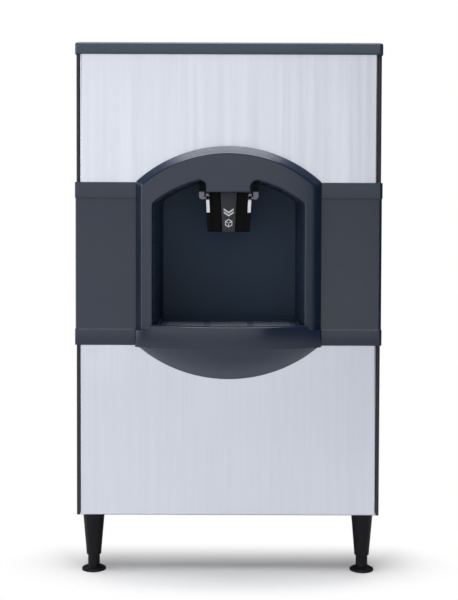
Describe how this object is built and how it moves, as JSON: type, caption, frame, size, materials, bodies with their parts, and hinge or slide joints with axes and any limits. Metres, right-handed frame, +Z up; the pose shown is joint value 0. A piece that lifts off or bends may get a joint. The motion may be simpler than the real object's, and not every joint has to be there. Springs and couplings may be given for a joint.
{
  "type": "hotel ice dispenser",
  "caption": "Floor-standing push-chute ice dispenser with stainless front, charcoal arched alcove, drip sink, open-top insulated bin and adjustable legs.",
  "frame": {"origin": "centre of the bounding box at floor level, between the feet", "axes": "+Z up, -Y toward the user at the front, +X to the user's right"},
  "size_m": [0.768, 0.805, 1.338],
  "materials": {
    "stainless": "fine brushed stainless sheet, light",
    "side_paint": "dark charcoal paint, low sheen",
    "galvanised": "galvanised sheet, dull",
    "charcoal": "fine-grained charcoal moulding, satin",
    "bin_plastic": "white food-grade polyethylene, satin",
    "foam": "foamed-in-place insulation",
    "rubber": "black rubber",
    "chute_black": "gloss black",
    "label_grey": "satin grey plate",
    "satin_steel": "satin stainless",
    "leg_black": "black, low gloss",
    "wheel_plastic": "white food-grade polyethylene",
    "motor_paint": "dark grey enamel",
    "casting": "as cast",
    "board_green": "green solder mask",
    "laminations": "dark laminated steel",
    "relay_case": "smoky case",
    "drain_plastic": "white pipe"
  },
  "bodies": {
    "cabinet": {"upper_front_panel": "stainless", "lower_front_panel": "stainless", "side_panel_left": "side_paint", "side_panel_right": "side_paint", "base_frame": "galvanised", "back_panel": "galvanised", "front_frame": "galvanised", "bin_deck": "galvanised", "control_box": "galvanised", "control_box_cover": "galvanised", "top_trim": "charcoal", "band_left": "charcoal", "band_right": "charcoal", "dispensing_bezel": "charcoal", "alcove_liner": "charcoal", "sink_basin": "charcoal", "hanger_ear_left": "charcoal", "hanger_ear_right": "charcoal", "bin_liner": "bin_plastic", "hopper_collar": "bin_plastic", "hopper_slope_left": "bin_plastic", "hopper_slope_right": "bin_plastic", "ice_throat": "bin_plastic", "drain_strainer": "bin_plastic", "bin_insulation": "foam", "bin_gasket": "rubber", "shaft_seal": "rubber", "proximity_switch": "rubber", "port_baffle": "satin_steel", "leg_front_left": "leg_black", "leg_front_right": "leg_black", "leg_rear_left": "leg_black", "leg_rear_right": "leg_black", "switch_frame": "leg_black", "cord_gland": "leg_black", "gear_motor": "motor_paint", "gearbox": "casting", "circuit_board": "board_green", "transformer": "laminations", "power_relay": "relay_case", "sink_drain": "drain_plastic", "bin_drain": "drain_plastic"},
    "chute": {"chute_shell": "chute_black", "chute_label_plate": "label_grey", "chute_strap_left": "satin_steel", "chute_strap_right": "satin_steel", "chute_pin_left": "satin_steel", "chute_pin_right": "satin_steel", "chute_magnet": "laminations"},
    "wheel": {"paddle_wheel": "wheel_plastic", "agitator_bar": "satin_steel", "hub_nut": "satin_steel", "drive_shaft": "satin_steel"},
    "grille": {"drip_grille": "charcoal"},
    "rocker": {"switch_rocker": "leg_black"},
    "foot_front_left": {"foot_front_left": "leg_black"},
    "foot_front_right": {"foot_front_right": "leg_black"},
    "foot_rear_left": {"foot_rear_left": "leg_black"},
    "foot_rear_right": {"foot_rear_right": "leg_black"}
  },
  "joints": [
    {"name": "chute_rock", "type": "hinge", "parent": "cabinet", "child": "chute", "pos_m": [0, -0.2625, 0.952], "axis": [1, 0, 0], "range_deg": [0, 10]},
    {"name": "wheel_spin", "type": "hinge", "parent": "cabinet", "child": "wheel", "pos_m": [0, -0.0175, 1.0571], "axis": [0, 0, 1], "continuous": true},
    {"name": "grille_lift", "type": "slide", "parent": "cabinet", "child": "grille", "axis": [0, 0, 1], "range_m": [0, 0.08]},
    {"name": "power_rocker", "type": "hinge", "parent": "cabinet", "child": "rocker", "pos_m": [-0.1002, 0.2874, 0.4248], "axis": [1, 0, 0], "range_deg": [0, 12]},
    {"name": "foot_screw_front_left", "type": "slide", "parent": "cabinet", "child": "foot_front_left", "axis": [0, 0, -1], "range_m": [0, 0.02]},
    {"name": "foot_screw_front_right", "type": "slide", "parent": "cabinet", "child": "foot_front_right", "axis": [0, 0, -1], "range_m": [0, 0.02]},
    {"name": "foot_screw_rear_left", "type": "slide", "parent": "cabinet", "child": "foot_rear_left", "axis": [0, 0, -1], "range_m": [0, 0.02]},
    {"name": "foot_screw_rear_right", "type": "slide", "parent": "cabinet", "child": "foot_rear_right", "axis": [0, 0, -1], "range_m": [0, 0.02]}
  ]
}
